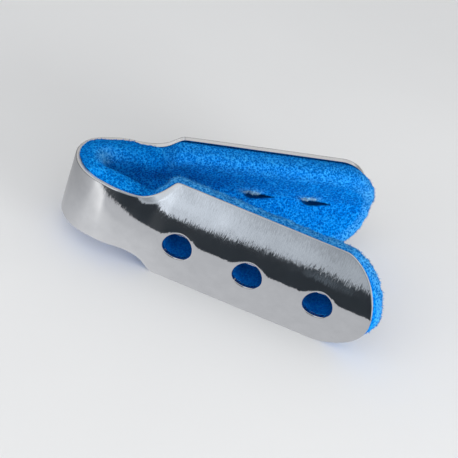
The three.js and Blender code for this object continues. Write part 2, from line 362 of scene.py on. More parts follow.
def grid_inside(outline, holes, step):
    """Staggered points inside the outline and outside the holes, clear of both."""
    row_step = step * math.sqrt(3) / 2
    low, high = outline.min(0), outline.max(0)
    rows = np.arange(low[1] + row_step, high[1], row_step)
    points = []
    for i, height in enumerate(rows):
        along = np.arange(low[0] + step * (0.5 + 0.5 * (i % 2)), high[0], step)
        points.append(np.stack([along, np.full_like(along, height)], 1))
    points = np.vstack(points)
    clear = GRID_CLEARANCE * step
    bound = outline - outward(outline) * clear
    keep = np.concatenate([inside(part, bound) for part in np.array_split(points, GRID_PARTS)])
    for hole in holes:
        near = np.linalg.norm(points - hole.mean(0), axis=1) < np.ptp(hole[:, 0])
        keep[near] &= ~inside(points[near], hole + outward(hole) * clear)
    return points[keep]


def fill(outline, holes, step):
    """Points and triangles of a flat sheet. The outline's points come first, then each hole's."""
    loops = [outline, *holes]
    owner = np.concatenate([np.full(len(loop), i) for i, loop in enumerate(loops)])
    grid = grid_inside(outline, holes, step)
    points = np.vstack([*loops, grid])
    owner = np.concatenate([owner, np.full(len(grid), -1)])
    sides = []
    start = 0
    for loop in loops:
        sides += [(start + i, start + (i + 1) % len(loop)) for i in range(len(loop))]
        start += len(loop)
    flat = [Vector(point) for point in points]
    made, _, triangles, *_ = delaunay_2d_cdt(flat, sides, [], 0, 1e-6, False)
    if len(made) != len(points):
        raise ValueError("the flat sheet gained points while it was filled")
    triangles = np.array(triangles)
    owners = owner[triangles]
    keep = (owners[:, 0] < 0) | (owners != owners[:, :1]).any(1)
    edge_only = np.flatnonzero((owners == 0).all(1))
    keep[edge_only] = inside(points[triangles[edge_only]].mean(1), outline)
    return points, triangles[keep]


def ring_faces(rings, flip=False):
    """Quads between successive rings, given as rows of vertex numbers."""
    here, there = rings[:-1], rings[1:]
    beside, beyond = np.roll(here, -1, 1), np.roll(there, -1, 1)
    order = [here, there, beyond, beside] if flip else [here, beside, beyond, there]
    return np.stack(order, -1).reshape(-1, 4)


def make_mesh(name, points, faces, normals=None, **fields):
    """A smooth mesh from points in millimetres, arrays of faces and named fields of the points."""
    mesh = bpy.data.meshes.new(name)
    mesh.from_pydata((points * MM).tolist(), [], [face for part in faces for face in part.tolist()])
    mesh.shade_smooth()
    if normals is not None:
        mesh.normals_split_custom_set_from_vertices(normals.tolist())
    for field, values in fields.items():
        kind, key = ("FLOAT", "value") if values.ndim == 1 else ("FLOAT_VECTOR", "vector")
        attribute = mesh.attributes.new(field, kind, "POINT")
        attribute.data.foreach_set(key, values.astype(np.float32).ravel())
    piece = bpy.data.objects.new(name, mesh)
    bpy.context.scene.collection.objects.link(piece)
    return piece


# Smooth random fields
GRID_FACTORS = np.array([73856093, 19349663, 83492791])  # large primes that tell grid points apart
SEED_FACTOR = 7919
MIX_FACTOR = 1274126177


def value_noise(points, cell, seed):
    """Values from -1 to 1 that vary smoothly between random values on a grid of that cell size."""
    axes = points.shape[1]
    scaled = points / cell
    base = np.floor(scaled).astype(np.int64)
    share = scaled - base
    share = share * share * (3 - 2 * share)
    total = np.zeros(len(points))
    for corner in range(2 ** axes):
        offset = np.array([(corner >> axis) & 1 for axis in range(axes)])
        key = (base + offset + SEED_FACTOR * seed) @ GRID_FACTORS[:axes]
        key = (key ^ (key >> 13)) * MIX_FACTOR & 0x7FFFFFFF
        value = ((key ^ (key >> 16)) & 0xFFFF) / 32767.5 - 1
        weight = np.where(offset, share, 1 - share).prod(1)
        total += value * weight
    return total


def layered_noise(points, layers, seed):
    return sum(row["height"] * value_noise(points, row["size"], seed + i) for i, row in enumerate(layers))


# The aluminium strip
def rollover(along, height):
    """Depth by which the outer face dips towards the punched holes."""
    depth = np.zeros_like(along)
    for centre in hole_centres():
        clear = np.hypot(along - centre, height) - HOLE_DIAMETER / 2
        depth += ROLLOVER_DEPTH * np.exp(-(np.maximum(clear, 0) / ROLLOVER_REACH) ** 2)
    return depth


def waviness(along, height):
    """The slight unevenness of hand-sized sheet work."""
    return layered_noise(np.stack([along, height], -1), SHEET_WAVES, SEED)


def outer_surface(along, height):
    return sheet_point(along, height, rollover(along, height) + waviness(along, height))


def face_frame(along, height):
    """Normals and the two flat directions of the outer face."""
    across = unit(outer_surface(along + SLOPE_STEP, height) - outer_surface(along - SLOPE_STEP, height))
    upward = unit(outer_surface(along, height + SLOPE_STEP) - outer_surface(along, height - SLOPE_STEP))
    return unit(np.cross(across, upward)), across, upward


def edge_profile():
    """The cut edge as (reach outward, depth, turn): from the outer face round to the inner one."""
    turns = np.linspace(0, math.pi / 2, ROUND_STEPS + 1)
    profile = [(EDGE_ROLL * math.sin(t), EDGE_ROLL * (1 - math.cos(t)), t) for t in turns]
    face_end = EDGE_ROLL - EDGE_ROUND
    for t in turns:
        depth = SHEET - EDGE_ROUND * (1 - math.sin(t))
        profile.append((face_end + EDGE_ROUND * math.cos(t), depth, math.pi / 2 + t))
    return profile


def edge_matte(along):
    """How matte the cut edge of the strip is: most round the bend and at the tips."""
    distance = np.abs(along)
    arm = smoothstep(distance, ARM_MATTE_FROM, WAIST_HALF_LENGTH + SHOULDER_LENGTH)
    tip = smoothstep(distance, TIP_START, ARM_LENGTH - TIP_MATTE_BEFORE_END)
    return lerp(lerp(EDGE_MATTE, ARM_MATTE, arm), EDGE_MATTE, tip)


def build_metal():
    outline = strip_outline(METAL_EDGE_STEP)
    inset_outline = outline - outward(outline) * EDGE_ROLL
    radius = HOLE_DIAMETER / 2
    squeeze = 1 / math.hypot(1, float(face_inset(FIRST_HOLE, radius)) / radius)
    hole_size = (radius + EDGE_ROLL, radius * squeeze + EDGE_ROLL)
    holes = [ellipse(centre, *hole_size, HOLE_POINTS) for centre in hole_centres()]
    loops = [(inset_outline, 1), *[(hole, -1) for hole in holes]]
    flat, triangles = fill(inset_outline, holes, METAL_STEP)
    normal, _, _ = face_frame(*flat.T)
    outer = outer_surface(*flat.T)
    back = flat.copy()
    shift = EDGE_ROLL - EDGE_ROUND
    start = 0
    for loop, away in loops:
        back[start:start + len(loop)] += outward(loop) * away * shift
        start += len(loop)
    inner = sheet_point(back[:, 0], back[:, 1], SHEET + waviness(*back.T))
    points = [outer, inner]
    places = [flat, back]
    cut = [np.zeros(len(flat)), np.zeros(len(flat))]
    normals = [normal, -normal]
    count = len(flat)
    faces = [triangles, triangles[:, ::-1] + count]
    total = 2 * count
    start = 0
    for loop, away in loops:
        direction = outward(loop) * away
        size = len(loop)
        first = np.arange(start, start + size)
        rings = [first]
        loop_normal, across, upward = (part[first] for part in face_frame(*flat[:start + size].T))
        out3d = across * direction[:, :1] + upward * direction[:, 1:]
        matte = edge_matte(loop[:, 0]) if away > 0 else np.full(size, PUNCHED_MATTE)
        for reach, depth, turn in edge_profile()[1:-1]:
            moved = loop + direction * reach
            fade = 1 - depth / SHEET
            sunk = depth + rollover(*loop.T) * fade + waviness(*moved.T)
            points.append(sheet_point(moved[:, 0], moved[:, 1], sunk))
            places.append(moved)
            cut.append(matte * smoothstep(turn, math.pi / 4, math.pi / 2))
            normals.append(loop_normal * math.cos(turn) + out3d * math.sin(turn))
            rings.append(np.arange(total, total + size))
            total += size
        rings.append(first + count)
        faces.append(ring_faces(np.array(rings), flip=away > 0))
        start += size
    normals = unit(np.vstack(normals))
    sheet_place = np.hstack([np.vstack(places), np.zeros((total, 1))])
    fields = {"sheet_place": sheet_place, "cut_edge": np.concatenate(cut)}
    return make_mesh("aluminium_strip", np.vstack(points), faces, normals, **fields)


# The foam liner
def foam_thickness(along):
    share = np.abs(along) / CREASE_FULL
    result = np.full_like(share, FOAM_FILL[-1]["front"])
    for row, after in reversed(list(zip(FOAM_FILL, FOAM_FILL[1:]))):
        blend = smoothstep(share, row["along"], after["along"])
        front, back = (lerp(row[side], after[side], blend) for side in ("front", "back"))
        result = np.where(share < after["along"], np.where(along < 0, back, front), result)
    return FOAM_THICKNESS * result


def inner_depth(along):
    return (SHEET + GLUE_LINE + foam_thickness(along)) * np.hypot(1, flank_lean(along))


def foam_inner_point(along, height):
    crease = flank_lean(along) * (np.hypot(height, FOAM_CREASE_ROUNDING) - CREST_ROUNDING)
    return placed(along, inner_depth(along) + crease, height)


def eased_within(loop, model):
    """The loop smoothed, so that no folds are left at tight corners, and its ends inside the model's."""
    smooth = loop.copy()
    for _ in range(EASING_ROUNDS):
        smooth = 0.5 * smooth + 0.25 * (np.roll(smooth, 1, 0) + np.roll(smooth, -1, 0))
    low = model[:, 0].min() + FOAM_TURNOVER / 2
    high = model[:, 0].max() - FOAM_TURNOVER / 2
    return np.stack([np.clip(smooth[:, 0], low, high), smooth[:, 1]], 1)


def inner_share(along):
    """How much lower a cut edge is at the foam's inner face than at the metal, being square to it."""
    half = arm_half_width(np.abs(along))
    slope = flank_lean(along) * half / np.hypot(half, CREST_ROUNDING)
    return 1 - foam_thickness(along) * slope / np.hypot(1, slope) / half


def slit_centre(centre):
    index = round((abs(centre) - FIRST_HOLE) / HOLE_PITCH)
    return centre + math.copysign(1, centre) * SLIT_SHIFTS[index]


def tapered_slit(centre):
    """The mouth of a closed hole: widest towards the bend, and its upper edge nearly straight."""
    half = SLIT_LENGTH / 2
    loop = ellipse(0.0, half, SLIT_WIDTH / 2, HOLE_POINTS)
    narrowing = 1 - SLIT_TAPER * smoothstep(loop[:, 0] * math.copysign(1, centre), -half, half)
    upper = np.where(loop[:, 1] > 0, SLIT_UPPER_HALF, 1.0)
    return np.stack([loop[:, 0] + slit_centre(centre), loop[:, 1] * narrowing * upper - SLIT_DROP], 1)


def squeezed_share(along):
    """1 round the bend, where the foam is squeezed out over the metal, and 0 on the arms."""
    return smoothstep(along, *BEND_PROUD_FROM) * (1 - smoothstep(along, *BEND_PROUD_TO))


def bezier(corners, share):
    """The points at a share of the way along the curves that rows of corners draw."""
    while len(corners) > 1:
        corners = [lerp(a, b, share) for a, b in zip(corners, corners[1:])]
    return corners[0]


def bulging_rows(a, b, loop, away, corner, squeezed):
    """Rows of the cut edge between a at the metal and b at the inner face.

    They bulge outward, and where the foam is squeezed they spill over the metal's upper edge.
    """
    grown = loop + away * SWELL_STEP
    swell = (sheet_point(*grown.T, SHEET) - sheet_point(*loop.T, SHEET)) / SWELL_STEP
    pull = foam_inner_point(*corner.T) + swell * FOAM_BULGE
    over = a + unit(a - b) * BEND_SPILL + swell * BEND_SPILL_RISE
    spilling = np.where(loop[:, 1] > 0, squeezed, 0)[:, None]
    for row in range(1, FOAM_EDGE_ROWS):
        share = row / FOAM_EDGE_ROWS
        yield lerp(bezier([a, pull, b], share), bezier([a, over, pull, b], share), spilling)


def build_foam_mesh():
    """The liner as points and faces, and the flat place and the kind of each point.

    A kind is (whether it shows, its share of the way round the cut edge, its share of a hole's wall).
    """
    outline = strip_outline(FOAM_STEP)
    away = outward(outline)
    squeezed = squeezed_share(outline[:, 0])
    proud = np.where(outline[:, 1] > 0, squeezed, 0)
    recess = lerp(FOAM_RECESS, -BEND_PROUD, proud) * np.abs(away[:, 1])
    outline = outline + away * [FOAM_OVERHANG, 0] - away * recess[:, None] * [0, 1]
    corner = outline * np.stack([np.ones(len(outline)), inner_share(outline[:, 0])], 1)
    outline_in = eased_within(corner - outward(corner) * FOAM_TURNOVER, corner)
    radius = HOLE_DIAMETER / 2 + FOAM_HOLE_GAP
    holes = [ellipse(centre, radius, radius, HOLE_POINTS) for centre in hole_centres()]
    slits = [tapered_slit(centre) for centre in hole_centres()]
    flat_in, triangles_in = fill(outline_in, slits, FOAM_STEP)
    flat_out, triangles_out = fill(outline, holes, FOAM_BACK_STEP)
    inner = foam_inner_point(*flat_in.T)
    outer = sheet_point(flat_out[:, 0], flat_out[:, 1], SHEET + GLUE_LINE)
    points = [inner, outer]
    flats = [flat_in, flat_out]
    kinds = [np.tile([1.0, 0.0, 0.0], (len(inner), 1)), np.zeros((len(outer), 3))]
    mouths = np.vstack(slits)
    # The lower rims of the slits get the holes' painted shade
    mouth_shade = np.where(mouths[:, 1] > -SLIT_DROP, 0.0, SLIT_SHADE)
    kinds[0][len(outline):len(outline) + len(mouths), 2] = mouth_shade
    faces = [triangles_in[:, ::-1], triangles_out + len(inner)]
    total = len(inner) + len(outer)
    start = 0
    for loop in [outline, *holes]:
        is_outline = loop is outline
        size = len(loop)
        ring_in = np.arange(start, start + size)
        ring_out = ring_in + len(inner)
        a, b = outer[ring_in], inner[ring_in]
        if is_outline:
            rows = list(bulging_rows(a, b, loop, away, corner, squeezed))
        else:
            rows = [lerp(a, b, row / HOLE_ROWS) for row in range(1, HOLE_ROWS)]
        rings = [ring_out]
        for row, ring in enumerate(rows, 1):
            share = row / (len(rows) + 1)
            points.append(ring)
            flats.append(loop)
            kind = [share, 0.0] if is_outline else [0.0, 1.0]
            kinds.append(np.tile([min(1, share * MASKED_SHARE), *kind], (size, 1)))
            rings.append(np.arange(total, total + size))
            total += size
        rings.append(ring_in)
        faces.append(ring_faces(np.array(rings), flip=is_outline))
        start += size
    return np.vstack(points), faces, np.vstack(flats), np.vstack(kinds)


def vertex_normals(points, faces):
    """Normals of the points, each face counting by its area."""
    total = np.zeros_like(points)
    for part in faces:
        corners = points[part]
        normal = np.cross(corners[:, 1] - corners[:, 0], corners[:, 2] - corners[:, 0])
        if part.shape[1] == 4:
            normal += np.cross(corners[:, 2] - corners[:, 0], corners[:, 3] - corners[:, 0])
        for column in part.T:
            np.add.at(total, column, normal)
    return total / np.maximum(np.linalg.norm(total, axis=1, keepdims=True), 1e-12)


def slit_lips(flat):
    """1 on the frayed upper edge of a slit, towards the bend, and 0 away from it. The mask raises the lip
    and marks its painted highlight.
    """
    total = np.zeros(len(flat))
    for centre in hole_centres():
        middle = slit_centre(centre) - math.copysign(SLIT_LIP_TOWARDS_BEND, centre)
        along = (flat[:, 0] - middle) / SLIT_LIP_HALF_LENGTH
        up = (flat[:, 1] - SLIT_LIP_HEIGHT) / SLIT_LIP_HALF_WIDTH
        total += np.exp(-along ** 4 - up ** 2)
    return total


def frayed(flat, edges):
    """How far the cells are torn open, which also sets the painted sheen: on the arms' cut edges and
    where the bend is pinched.
    """
    distance = np.abs(flat[:, 0])
    arm = smoothstep(distance, *EDGE_FRAY_FROM)
    tip = smoothstep(distance, TIP_START, ARM_LENGTH)
    arm = arm * np.where(flat[:, 0] > 0, 1, lerp(BACK_FRAY, BACK_TIP_FRAY, tip))
    band = np.sin(math.pi * np.clip(edges, 0, 1)) ** EDGE_FRAY_POWER
    pinch = PINCH_FRAY * np.exp(-(distance / PINCH_REACH) ** 2) * smoothstep(edges, *PINCH_EDGE)
    return np.where(edges > 0, arm * band + pinch, 0)


def build_foam():
    """The liner, and what the fuzz needs: its points, their normals, whether they show, their fray and
    painted sheen.
    """
    points, faces, flat, kinds = build_foam_mesh()
    shown, edges, walls = kinds.T
    normals = vertex_normals(points, faces)
    on_face = (edges == 0) & (walls < 0.5) & (shown > 0)
    lips = slit_lips(flat) * on_face
    fray_and_sheen = np.clip(EDGE_FRAY * np.clip(frayed(flat, edges), 0, 1) + SLIT_FRAY * lips, 0, 1)
    lumps = layered_noise(points, FOAM_LUMPS, SEED + 2)
    cells = layered_noise(points, FOAM_CELLS, SEED + 4)
    bunched = fray_and_sheen * layered_noise(points, FRAY_LUMPS, SEED + 6)
    rough = 1 - HOLE_WALL_SMOOTHING * walls
    raised = ((lumps + cells) * rough + bunched + SLIT_LIP_RISE * lips) * shown
    points = points + normals * raised[:, None]
    # The holes' walls carry the painted shade of the recesses
    fields = {"fray_and_sheen": fray_and_sheen, "hole_wall_shade": walls}
    return make_mesh("foam_lining", points, faces, **fields), points, normals, shown * (1 - walls), fray_and_sheen


def build_fuzz(points, normals, shown, fray_and_sheen):
    """Broken cell walls: closed slivers that stand on the foam, closer together where it is frayed."""
    random = np.random.default_rng(SEED)
    weight = shown * (FUZZ_ON_FACES + fray_and_sheen + FUZZ_ON_LIPS * smoothstep(fray_and_sheen, TORN_FROM, 1))
    roots = random.choice(len(points), FUZZ_COUNT, p=weight / weight.sum())
    root = points[roots] + random.normal(0, FOAM_STEP / 3, (FUZZ_COUNT, 3))
    lean = unit(normals[roots] + random.normal(0, FUZZ_LEAN, (FUZZ_COUNT, 3)))
    side = unit(np.cross(lean, random.normal(0, 1, (FUZZ_COUNT, 3))))
    other = np.cross(lean, side)
    length = random.uniform(*FUZZ_LENGTH, (FUZZ_COUNT, 1))
    width = random.uniform(*FUZZ_WIDTH, (FUZZ_COUNT, 1))
    foot = root - lean * FUZZ_ROOT
    back = foot - side * width / 2
    corners = [foot + side * width, back + other * width, back - other * width, root + lean * length]
    corners = np.stack(corners, 1).reshape(-1, 3)
    first = 4 * np.arange(FUZZ_COUNT)[:, None]
    faces = np.vstack([first + [2, 1, 0], first + [0, 1, 3], first + [1, 2, 3], first + [2, 0, 3]])
    sliver_fray_and_sheen = np.repeat(np.maximum(fray_and_sheen[roots], FUZZ_FRAY), 4)
    fields = {"fray_and_sheen": sliver_fray_and_sheen, "hole_wall_shade": np.zeros(len(sliver_fray_and_sheen))}
    return make_mesh("foam_fuzz", corners, [faces], **fields)


# Materials
def new_material(name):
    material = bpy.data.materials.new(name)
    material.use_nodes = True
    nodes = material.node_tree.nodes
    return material, nodes, material.node_tree.links, nodes["Principled BSDF"]


def set_inputs(node, values):
    for name, value in values.items():
        node.inputs[name].default_value = value


def attribute_node(nodes, name):
    node = nodes.new("ShaderNodeAttribute")
    node.attribute_name = name
    return node


def noise_node(nodes, links, vector, values):
    node = nodes.new("ShaderNodeTexNoise")
    set_inputs(node, values)
    links.new(vector, node.inputs["Vector"])
    return node.outputs["Fac"]


def map_range(nodes, links, value, source, target=(0.0, 1.0)):
    node = nodes.new("ShaderNodeMapRange")
    node.inputs["From Min"].default_value, node.inputs["From Max"].default_value = source
    node.inputs["To Min"].default_value, node.inputs["To Max"].default_value = target
    links.new(value, node.inputs["Value"])
    return node.outputs["Result"]


def operation_outputs(nodes, links, kind, operation, values):
    """The outputs of an operation on values that may be sockets or fixed."""
    node = nodes.new(kind)
    node.operation = operation
    for socket, value in zip(node.inputs, values):
        if isinstance(value, bpy.types.NodeSocket):
            links.new(value, socket)
        else:
            socket.default_value = value
    return node.outputs


def combined(nodes, links, operation, *values):
    return operation_outputs(nodes, links, "ShaderNodeMath", operation, values)["Value"]


def vector_combined(nodes, links, operation, *values):
    return operation_outputs(nodes, links, "ShaderNodeVectorMath", operation, values)["Vector"]


def colour_ramp(nodes, links, value, stops):
    node = nodes.new("ShaderNodeValToRGB")
    ramp = node.color_ramp
    while len(ramp.elements) < len(stops):
        ramp.elements.new(0.5)
    for element, (position, colour) in zip(ramp.elements, stops):
        element.position = position
        element.color = (*colour, 1)
    links.new(value, node.inputs["Fac"])
    return node.outputs["Color"]


def blended(nodes, links, share, a, b):
    """A colour that goes from a to b with the share. Each may be a socket or a colour."""
    node = nodes.new("ShaderNodeMix")
    node.data_type = "RGBA"
    links.new(share, node.inputs["Factor"])
    for socket, value in (("A", a), ("B", b)):
        if isinstance(value, tuple):
            node.inputs[socket].default_value = (*value, 1)
        else:
            links.new(value, node.inputs[socket])
    return node.outputs["Result"]


# The aluminium's look. Sizes of noise are counts per millimetre of the flat sheet
GRAIN = {"Scale": 4.2, "Detail": 3.0, "Roughness": 0.65}
GRAIN_STRETCH = (1.0, 0.2, 1.0)
GRAIN_TILT = 0.05  # of the face, up and down
HAIR = {"Scale": 7.0, "Detail": 2.0, "Roughness": 0.7}
HAIR_STRETCH = (1.0, 0.05, 1.0)
HAIR_DEPTH = 0.004
CLOUDING = {"Scale": 0.25, "Detail": 4.0, "Roughness": 0.6}
CLOUD_RANGE = (0.3, 0.7)
METAL_SHADES = [(0.3, (0.74, 0.75, 0.77)), (0.7, (0.80, 0.81, 0.83))]
METAL_GLOSS = (0.055, 0.085)  # roughness of the faces
CUT_COLOUR = (0.94, 0.91, 0.87)
CUT_ROUGHNESS = 0.42  # added where the edge is matte


def aluminium_material():
    material, nodes, links, shader = new_material("bright_aluminium")
    place = attribute_node(nodes, "sheet_place").outputs["Vector"]
    shader.inputs["Metallic"].default_value = 1.0

    # Grain: fine along the strip and long across it, which tilts the face a little up and down
    drawn_out = vector_combined(nodes, links, "MULTIPLY", place, GRAIN_STRETCH)
    grain = noise_node(nodes, links, drawn_out, GRAIN)
    tilt = map_range(nodes, links, grain, (0.0, 1.0), (-GRAIN_TILT, GRAIN_TILT))
    combine = nodes.new("ShaderNodeCombineXYZ")
    links.new(tilt, combine.inputs["Z"])
    face = nodes.new("ShaderNodeNewGeometry").outputs["Normal"]
    tilted = vector_combined(nodes, links, "ADD", face, combine.outputs["Vector"])
    tilted = vector_combined(nodes, links, "NORMALIZE", tilted)

    # Hair lines in the same direction, as a bump
    drawn_out = vector_combined(nodes, links, "MULTIPLY", place, HAIR_STRETCH)
    hair = noise_node(nodes, links, drawn_out, HAIR)
    bump = nodes.new("ShaderNodeBump")
    bump.inputs["Distance"].default_value = HAIR_DEPTH * MM
    links.new(hair, bump.inputs["Height"])
    links.new(tilted, bump.inputs["Normal"])
    links.new(bump.outputs["Normal"], shader.inputs["Normal"])

    # Faint clouding of the colour and the gloss
    cloud = noise_node(nodes, links, place, CLOUDING)
    cut = attribute_node(nodes, "cut_edge").outputs["Fac"]
    polished = colour_ramp(nodes, links, cloud, METAL_SHADES)
    links.new(blended(nodes, links, cut, polished, CUT_COLOUR), shader.inputs["Base Color"])
    gloss = map_range(nodes, links, cloud, CLOUD_RANGE, METAL_GLOSS)
    matte = combined(nodes, links, "MULTIPLY", cut, CUT_ROUGHNESS)
    links.new(combined(nodes, links, "ADD", gloss, matte), shader.inputs["Roughness"])
    return material


# The foam's look. Sizes of noise are counts per metre
CELL_SIZE = 0.52
CELL_DEPTH = 0.22
CELL_WALLS = (0.1, 0.65)  # distance from a cell's middle, in cells, over which the pit ends
FINE_SPECKS = {"Scale": 5600.0, "Detail": 2.0, "Roughness": 0.7}
BROAD_PATCHES = {"Scale": 300.0, "Detail": 3.0, "Roughness": 0.6}
PIT_SHARE = 0.30
SPECK_SHARE = 0.70
PATCH_SHARE = 0.16
# Colours by the speckle value: the low end is painted shade in the cell pits, the high end painted glints
# on the cell walls, and the rest random tone
FOAM_SHADES = [
    (0.42, (0.000, 0.062, 0.290)),
    (0.53, (0.000, 0.108, 0.440)),
    (0.63, (0.000, 0.148, 0.580)),
    (0.72, (0.000, 0.225, 0.715)),
    (0.84, (0.030, 0.430, 0.880)),
]
# Paler colours where the cells are torn: torn cells and painted sheen together
FRAY_AND_SHEEN_SHADES = [
    (0.42, (0.001, 0.120, 0.400)),
    (0.60, (0.014, 0.255, 0.680)),
    (0.80, (0.180, 0.570, 0.890)),
]
# Painted shade on the walls of the holes, where the recess is dark
HOLE_WALL_PAINTED_SHADE = (0.000, 0.050, 0.240)  # on the walls of the holes
HOLE_WALL_SHADE_SHARE = 0.85
# Painted highlight, with torn cells, on the slit lips and the pinched foam
TORN_AND_HIGHLIGHT_SHADE = (0.520, 0.820, 1.000)  # where the cells are fully torn
TORN_AND_HIGHLIGHT_SHARE = 0.75
FOAM_FINISH = {
    "Roughness": 1.0,
    "Specular IOR Level": 0.0,
    "Sheen Weight": 0.04,
    "Sheen Roughness": 0.5,
    "Sheen Tint": (0.1, 0.6, 1.0, 1),
}


def foam_material():
    """Open cells about half a millimetre wide: painted shade in the pits and painted glints on the bright
    walls, pale where torn with painted sheen, and painted shade on the holes' walls.
    """
    material, nodes, links, shader = new_material("blue_open_cell_foam")
    place = nodes.new("ShaderNodeTexCoord").outputs["Object"]
    cells = nodes.new("ShaderNodeTexVoronoi")
    cells.inputs["Scale"].default_value = 1 / (CELL_SIZE * MM)
    links.new(place, cells.inputs["Vector"])
    # The cell pits are darkened in colour as painted shade, as well as sunk by the bump
    pits = map_range(nodes, links, cells.outputs["Distance"], CELL_WALLS)
    pits = combined(nodes, links, "MULTIPLY", pits, PIT_SHARE)
    fine = noise_node(nodes, links, place, FINE_SPECKS)
    fine = combined(nodes, links, "MULTIPLY", fine, SPECK_SHARE)
    patch = noise_node(nodes, links, place, BROAD_PATCHES)
    patch = combined(nodes, links, "MULTIPLY", patch, PATCH_SHARE)
    speck = combined(nodes, links, "ADD", pits, fine)
    shade = combined(nodes, links, "ADD", speck, patch)
    whole = colour_ramp(nodes, links, shade, FOAM_SHADES)
    pale = colour_ramp(nodes, links, shade, FRAY_AND_SHEEN_SHADES)
    fray_and_sheen = attribute_node(nodes, "fray_and_sheen").outputs["Fac"]
    hole_wall_shade = attribute_node(nodes, "hole_wall_shade").outputs["Fac"]
    # The cut edges pale with torn cells and painted sheen, and the lips and the pinch take a painted
    # highlight
    fray_and_sheen_colour = blended(nodes, links, fray_and_sheen, whole, pale)
    tear = map_range(nodes, links, fray_and_sheen, (TORN_FROM, 1.0), (0.0, TORN_AND_HIGHLIGHT_SHARE))
    torn_and_highlight_colour = blended(nodes, links, tear, fray_and_sheen_colour, TORN_AND_HIGHLIGHT_SHADE)
    # Painted shade on the holes' walls
    dark = combined(nodes, links, "MULTIPLY", hole_wall_shade, HOLE_WALL_SHADE_SHARE)
    links.new(blended(nodes, links, dark, torn_and_highlight_colour, HOLE_WALL_PAINTED_SHADE), shader.inputs["Base Color"])
    bump = nodes.new("ShaderNodeBump")
    bump.inputs["Distance"].default_value = CELL_DEPTH * MM
    links.new(speck, bump.inputs["Height"])
    links.new(bump.outputs["Normal"], shader.inputs["Normal"])
    set_inputs(shader, FOAM_FINISH)
    return material


# The floor. Its size is in metres and its noise counts per metre
FLOOR_SIZE = 3.0
FLOOR_COLOUR = (0.80, 0.80, 0.80)
FLOOR_CLOUDING = {"Scale": 12.0, "Detail": 3.0, "Roughness": 0.5}
FLOOR_SHADES = [(0.3, 0.985), (0.7, 1.015)]  # shares of that colour
FLOOR_ROUGHNESS = 0.8

# The dark wall that only the metal sees: a painted dark reflection of the room. Azimuths are degrees,
# from -Y towards +X
WALL_RADIUS = 205.0
WALL_TOP = 81.0
WALL_RISE = 11.0  # by which the wall is higher from the front to the right
WALL_RISE_FROM = (-21.0, -11.0)
WALL_RISE_TO = (60.0, 120.0)
WALL_SIDES = 240
OPENING_FROM = (30.0, 45.0)  # azimuths over which the wall drops to an opening
OPENING_TO = (115.0, 130.0)
OPENING_TOP = 5.0
# Painted shade of the dark reflection: lighter on the left, darker on the right
WALL_LEFT_COLOUR = (0.075, 0.080, 0.085)
WALL_RIGHT_COLOUR = (0.028, 0.037, 0.047)
WALL_CHANGE = (-150.0, -60.0)  # X over which the one colour becomes the other
# The pale spot is a painted reflection of a soft light in the dark band
PALE_SPOT = (-19.0, -204.0, 80.0)  # the middle of a soft light spot at the wall's top
PALE_SPOT_SIZE = (9.0, 20.0, 12.0)
PALE_SPOT_COLOUR = (0.18, 0.22, 0.26)

# A glowing plane that only the metal sees: a painted reflection of the lit table, with a painted glare
# and painted shade
TABLE_SIZE = 0.8  # metres
TABLE_HEIGHT = 0.05
TABLE_TINT = (0.99, 1.00, 1.03)
# The painted glare: a bright streak on the glowing plane in place of a lamp's reflection on the table
GLARE_START = (-29.0, -11.0, 0.0)
GLARE_TURN = math.radians(-135)
GLARE_HALF_WIDTH = 21.0
GLARE_POWER = 1.6  # above 1 draws the glare together
GLARE_ONSET = (5.0, 45.0)
GLARE_AT_START = 0.35
GLARE_LEVEL = 0.95
# Its painted brightness across the line of the glare, from right to left: the lower levels are painted
# shade
TABLE_LEVELS = [
    {"aside": -40.0, "level": 0.36},
    {"aside": -30.0, "level": 0.42},
    {"aside": -18.0, "level": 0.52},
    {"aside": 0.0, "level": 0.60},
    {"aside": 20.0, "level": 0.56},
    {"aside": 90.0, "level": 0.53},
]

# The sky's colour round the horizon, as shares of a turn from +Y by way of -X, -Y and +X
SKY_ROUND = [
    (0.00, (0.62, 0.62, 0.62)),
    (0.30, (0.90, 0.90, 0.90)),
    (0.435, (0.98, 1.06, 1.15)),
    (0.455, (0.57, 0.62, 0.68)),
    (0.466, (0.42, 0.46, 0.50)),
    (0.56, (0.38, 0.41, 0.44)),
    (0.70, (0.95, 0.95, 0.95)),
    (1.00, (0.62, 0.62, 0.62)),
]
# Its strength by the sine of the elevation
SKY_UP = [(0.365, 0.88), (0.395, 1.08), (0.420, 0.95), (0.445, 0.76), (0.900, 0.76)]

# The lamps, in metres and watts
LAMPS = [
    {"name": "front_light", "size": 1.0, "energy": 3.8, "location": (-0.2, -0.56, 0.28)},
    {"name": "mouth_light", "size": 0.4, "energy": 5.8, "location": (0.46, -0.38, 0.03)},
]
LAMPS_AIM = (0, 0, 0.01)


def stage_plane(name, size, height, material):
    """A level square in the middle of the stage, in metres."""
    mesh = bpy.data.meshes.new(name)
    corners = [(x * size / 2, y * size / 2, height) for x, y in ((-1, -1), (1, -1), (1, 1), (-1, 1))]
    mesh.from_pydata(corners, [], [(0, 1, 2, 3)])
    mesh.materials.append(material)
    plane = bpy.data.objects.new(name, mesh)
    bpy.context.scene.collection.objects.link(plane)
    return plane


def seen_in_metal_only(piece):
    for ray in ("camera", "diffuse", "shadow", "transmission"):
        setattr(piece, f"visible_{ray}", False)


def floor():
    material, nodes, links, shader = new_material("pale_floor")
    place = nodes.new("ShaderNodeTexCoord").outputs["Object"]
    cloud = noise_node(nodes, links, place, FLOOR_CLOUDING)
    tones = [(at, tuple(level * share for level in FLOOR_COLOUR)) for at, share in FLOOR_SHADES]
    links.new(colour_ramp(nodes, links, cloud, tones), shader.inputs["Base Color"])
    shader.inputs["Roughness"].default_value = FLOOR_ROUGHNESS
    plain = stage_plane("floor", FLOOR_SIZE, 0.0, material)
    plain.visible_glossy = False


